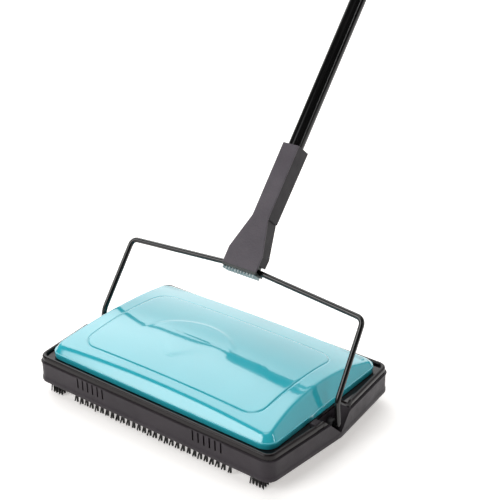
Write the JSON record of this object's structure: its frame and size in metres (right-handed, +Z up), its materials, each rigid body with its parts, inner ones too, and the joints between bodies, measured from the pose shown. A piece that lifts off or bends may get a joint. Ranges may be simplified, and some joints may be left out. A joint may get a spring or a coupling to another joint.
{
  "type": "carpet sweeper",
  "caption": "Push carpet sweeper: low wheeled head with brushes and dust pans under a crowned cover, a wire bail, a socket and a long tube handle with a grip.",
  "frame": {"origin": "on the floor under the centre of the head", "axes": "+Z up, -Y towards the front of the head, +X to the right as seen from the front; the handle leans towards +Y"},
  "size_m": [0.285, 0.7997, 0.8952],
  "materials": {
    "housing_plastic": "fine grained, matte",
    "deck_gloss": "polished black",
    "cover_gloss": "polished turquoise",
    "bristle": "black nylon",
    "bush_plastic": "natural acetal",
    "steel": "zinc plated",
    "inner_plastic": "moulded black",
    "tyre_rubber": "ribbed",
    "wire_black": "gloss black lacquer on steel",
    "socket_plastic": "fine grained, matte",
    "clamp_plastic": "pale grey",
    "tube_black": "gloss black lacquer on aluminium",
    "coupler_plastic": "black",
    "grip_black": "satin black, fluted"
  },
  "bodies": {
    "head": {"base_housing": "housing_plastic", "top_deck": "deck_gloss", "top_cover": "cover_gloss", "front_edge_brush": "bristle", "rear_edge_brush": "bristle", "corner_brush_front_left": "bristle", "corner_brush_front_right": "bristle", "corner_brush_rear_left": "bristle", "corner_brush_rear_right": "bristle", "brush_bushes": "bush_plastic", "bail_bushes": "inner_plastic", "wheel_axles": "steel", "cover_screws": "steel", "pan_springs": "steel"},
    "main_brush": {"brush_shaft": "steel", "brush_core": "inner_plastic", "brush_bristles": "bristle", "brush_pulleys": "inner_plastic"},
    "wheel_front_left_body": {"wheel_front_left": "inner_plastic", "tyre_front_left": "tyre_rubber"},
    "wheel_front_right_body": {"wheel_front_right": "inner_plastic", "tyre_front_right": "tyre_rubber"},
    "wheel_rear_left_body": {"wheel_rear_left": "inner_plastic", "tyre_rear_left": "tyre_rubber"},
    "wheel_rear_right_body": {"wheel_rear_right": "inner_plastic", "tyre_rear_right": "tyre_rubber"},
    "front_dust_pan": {"front_pan": "inner_plastic"},
    "rear_dust_pan": {"rear_pan": "inner_plastic"},
    "pan_release": {"release_link": "steel", "release_tab": "housing_plastic"},
    "handle": {"bail_wire": "wire_black", "socket_front": "socket_plastic", "socket_rear": "socket_plastic", "wire_clamp": "clamp_plastic", "socket_screws": "steel", "lower_tube": "tube_black", "middle_tube": "tube_black", "upper_tube": "tube_black", "lower_coupler": "coupler_plastic", "upper_coupler": "coupler_plastic", "grip": "grip_black", "grip_cap": "grip_black"},
    "joint_button": {"snap_button": "bush_plastic", "snap_spring": "steel"}
  },
  "joints": [
    {"name": "main_brush_spin", "type": "hinge", "parent": "head", "child": "main_brush", "pos_m": [0, 0, 0.0223], "axis": [1, 0, 0], "continuous": true},
    {"name": "wheel_front_left_spin", "type": "hinge", "parent": "head", "child": "wheel_front_left_body", "pos_m": [0, -0.02838, 0.015], "axis": [1, 0, 0], "continuous": true},
    {"name": "wheel_front_right_spin", "type": "hinge", "parent": "head", "child": "wheel_front_right_body", "pos_m": [0, -0.02838, 0.015], "axis": [1, 0, 0], "continuous": true},
    {"name": "wheel_rear_left_spin", "type": "hinge", "parent": "head", "child": "wheel_rear_left_body", "pos_m": [0, 0.02838, 0.015], "axis": [1, 0, 0], "continuous": true},
    {"name": "wheel_rear_right_spin", "type": "hinge", "parent": "head", "child": "wheel_rear_right_body", "pos_m": [0, 0.02838, 0.015], "axis": [1, 0, 0], "continuous": true},
    {"name": "front_pan_hinge", "type": "hinge", "parent": "head", "child": "front_dust_pan", "pos_m": [0, -0.076, 0.012], "axis": [-1, 0, 0], "range_deg": [0, 24], "stiffness_Nm_per_rad": 0.05, "springref_deg": -45.84},
    {"name": "rear_pan_hinge", "type": "hinge", "parent": "head", "child": "rear_dust_pan", "pos_m": [0, 0.076, 0.012], "axis": [1, 0, 0], "range_deg": [0, 24]},
    {"name": "pan_release_slide", "type": "slide", "parent": "head", "child": "pan_release", "axis": [0, 0, -1], "range_m": [0, 0.004]},
    {"name": "handle_pivot", "type": "hinge", "parent": "head", "child": "handle", "pos_m": [0, 0, 0.022], "axis": [1, 0, 0], "range_deg": [-28, 52]},
    {"name": "joint_button_slide", "type": "slide", "parent": "handle", "child": "joint_button", "axis": [0, 0.766, -0.6428], "range_m": [0, 0.0016], "stiffness_N_per_m": 500, "springref_m": -0.001}
  ],
  "couplings": [
    {"joint": "wheel_front_left_spin", "follows": "main_brush_spin", "ratio": -0.93333},
    {"joint": "wheel_front_right_spin", "follows": "main_brush_spin", "ratio": -0.93333},
    {"joint": "wheel_rear_left_spin", "follows": "main_brush_spin", "ratio": -0.93333},
    {"joint": "wheel_rear_right_spin", "follows": "main_brush_spin", "ratio": -0.93333},
    {"joint": "rear_pan_hinge", "follows": "front_pan_hinge", "ratio": 1},
    {"joint": "pan_release_slide", "follows": "front_pan_hinge", "m_per_rad": 0.0095}
  ]
}
